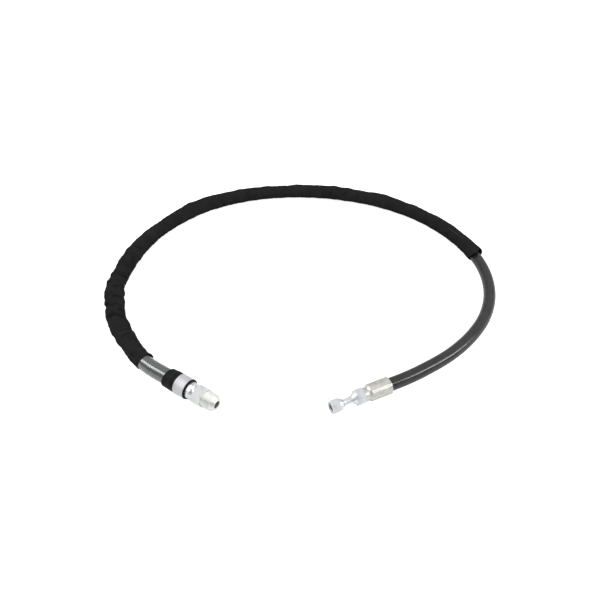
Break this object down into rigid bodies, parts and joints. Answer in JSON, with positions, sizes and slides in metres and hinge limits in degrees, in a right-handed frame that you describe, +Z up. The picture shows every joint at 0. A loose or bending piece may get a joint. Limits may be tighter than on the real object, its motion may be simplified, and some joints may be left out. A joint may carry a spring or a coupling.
{
  "type": "hydraulic hose assembly",
  "caption": "Braided hydraulic hose lying in an open ring, with a woven guard sleeve, a male cone fitting with a clamped cuff, and a crimped fitting with a swivel nut.",
  "frame": {"origin": "centre of the bounding box of the sleeve and the fittings, on the surface that they lie on", "axes": "+X from the male end's side to the swivel end's side, +Y away from the gap between the two ends, +Z up"},
  "size_m": [0.5156, 0.4569, 0.0243],
  "materials": {
    "tube_rubber": "matt black oil-proof rubber",
    "braid_wire": "bright braided steel wire",
    "ply_rubber": "matt black rubber",
    "cover_rubber": "smooth satin black rubber",
    "zinc_steel": "bright zinc plating, turned",
    "nickel_steel": "warm plated steel, crimped",
    "clear_plastic": "hazy clear plastic",
    "cuff_rubber": "matt black rubber",
    "ring_aluminium": "satin aluminium",
    "woven_nylon": "matt black woven nylon"
  },
  "bodies": {
    "hose": {"hose_inner_tube": "tube_rubber", "inner_wire_braid": "braid_wire", "braid_ply": "ply_rubber", "outer_wire_braid": "braid_wire", "hose_cover": "cover_rubber", "male_stem": "zinc_steel", "male_ferrule": "nickel_steel", "swivel_stem": "zinc_steel", "swivel_ferrule": "nickel_steel", "clear_guard_tube": "clear_plastic", "cuff_band": "cuff_rubber", "clamp_ring": "ring_aluminium", "fabric_sleeve": "woven_nylon"},
    "nut": {"swivel_nut": "zinc_steel"}
  },
  "joints": [
    {"name": "nut_swivel", "type": "hinge", "parent": "hose", "child": "nut", "pos_m": [0.04101, -0.21893, 0.01], "axis": [-0.9062, -0.4229, 0], "continuous": true}
  ]
}
